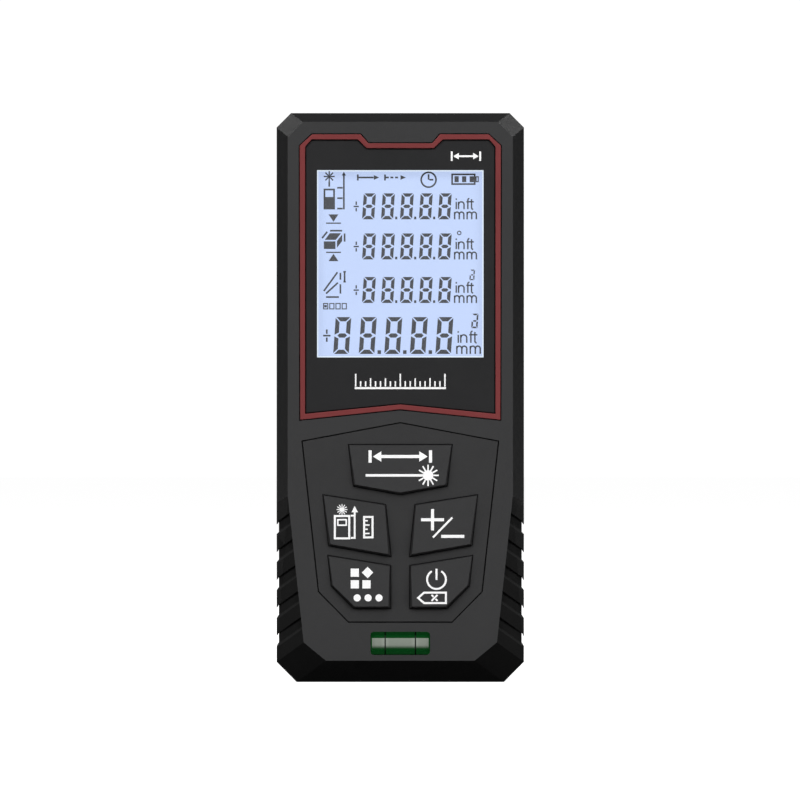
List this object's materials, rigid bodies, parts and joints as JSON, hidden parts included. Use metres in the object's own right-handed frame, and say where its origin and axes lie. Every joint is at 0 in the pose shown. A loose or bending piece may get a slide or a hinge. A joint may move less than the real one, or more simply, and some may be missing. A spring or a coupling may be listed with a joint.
{
  "type": "laser distance meter",
  "caption": "Handheld laser distance meter with a segment display, keypad, level vial, rubber side grips, battery door and paired laser and receiver optics in its end.",
  "frame": {"origin": "centre of the flat base end that the meter stands on and measures from", "axes": "+Z along the length towards the laser end, +X to the right of someone facing the keys, -Y out of the keys and display, +Y out of the battery door"},
  "size_m": [0.05, 0.026, 0.115],
  "materials": {
    "case_charcoal": "fine moulded texture",
    "case_black": "fine moulded texture",
    "key_plastic": "fine moulded texture with printed marks",
    "grip_rubber": "matt moulded rubber",
    "bumper_rubber": "matt moulded rubber",
    "seal_rubber": "soft",
    "trim_red": "satin red paint",
    "panel_dark": "smooth satin",
    "clear_plastic": "clear",
    "display_glass": "pale blue lit display",
    "white_plastic": "satin",
    "ribbon_film": "amber film",
    "steel": "plated",
    "board_green": "solder mask",
    "inner_black": "moulded",
    "lens_glass": "coated",
    "brass": "turned",
    "cell_jacket": "printed metal jacket",
    "vial_clear": "clear",
    "vial_green": "clear green liquid",
    "vial_black": "printed ring",
    "label_film": "blank satin film"
  },
  "bodies": {
    "case": {"front_cover": "case_charcoal", "rear_cover": "case_black", "left_grip": "grip_rubber", "right_grip": "grip_rubber", "base_bumper": "bumper_rubber", "shell_seal": "seal_rubber", "case_screws": "steel", "rear_label": "label_film", "lanyard_bar": "steel", "trim_ring": "trim_red", "display_bezel": "panel_dark", "display_lens": "clear_plastic", "window_gasket": "seal_rubber", "lcd_glass": "display_glass", "lcd_backlight": "white_plastic", "lcd_ribbon": "ribbon_film", "keypad_panel": "case_charcoal", "snap_domes": "steel", "main_board": "board_green", "board_chips": "inner_black", "board_screws": "steel", "buzzer": "inner_black", "optics_block": "inner_black", "receiver_lens": "lens_glass", "lens_retainer": "inner_black", "laser_barrel": "brass", "collimator_lens": "lens_glass", "laser_diode": "brass", "sensor_board": "board_green", "photodiode": "brass", "shield_can": "steel", "end_bezel": "case_black", "end_glass": "lens_glass", "battery_left": "cell_jacket", "battery_right": "cell_jacket", "battery_springs": "steel", "battery_contacts": "steel", "vial_holder": "white_plastic", "vial_tube": "vial_clear", "vial_fluid": "vial_green", "vial_plugs": "vial_green", "vial_lines": "vial_black"},
    "bubble": {"vial_bubble": "vial_clear"},
    "door": {"battery_door": "case_black", "door_foam": "seal_rubber"},
    "measure_key": {"measure_key": "key_plastic"},
    "reference_key": {"reference_key": "key_plastic"},
    "plus_minus_key": {"plus_minus_key": "key_plastic"},
    "function_key": {"function_key": "key_plastic"},
    "power_key": {"power_key": "key_plastic"}
  },
  "joints": [
    {"name": "measure_key_press", "type": "slide", "parent": "case", "child": "measure_key", "axis": [0, 1, 0], "range_m": [0, 0.0005], "stiffness_N_per_m": 1200, "springref_m": -0.0005},
    {"name": "reference_key_press", "type": "slide", "parent": "case", "child": "reference_key", "axis": [0, 1, 0], "range_m": [0, 0.0005], "stiffness_N_per_m": 1200, "springref_m": -0.0005},
    {"name": "plus_minus_key_press", "type": "slide", "parent": "case", "child": "plus_minus_key", "axis": [0, 1, 0], "range_m": [0, 0.0005], "stiffness_N_per_m": 1200, "springref_m": -0.0005},
    {"name": "function_key_press", "type": "slide", "parent": "case", "child": "function_key", "axis": [0, 1, 0], "range_m": [0, 0.0005], "stiffness_N_per_m": 1200, "springref_m": -0.0005},
    {"name": "power_key_press", "type": "slide", "parent": "case", "child": "power_key", "axis": [0, 1, 0], "range_m": [0, 0.0005], "stiffness_N_per_m": 1200, "springref_m": -0.0005},
    {"name": "battery_door_hinge", "type": "hinge", "parent": "case", "child": "door", "pos_m": [0, 0.0122, 0.062], "axis": [1, 0, 0], "range_deg": [0, 75]},
    {"name": "bubble_drift", "type": "slide", "parent": "case", "child": "bubble", "axis": [1, 0, 0], "range_m": [-0.0014, 0.0014]}
  ]
}
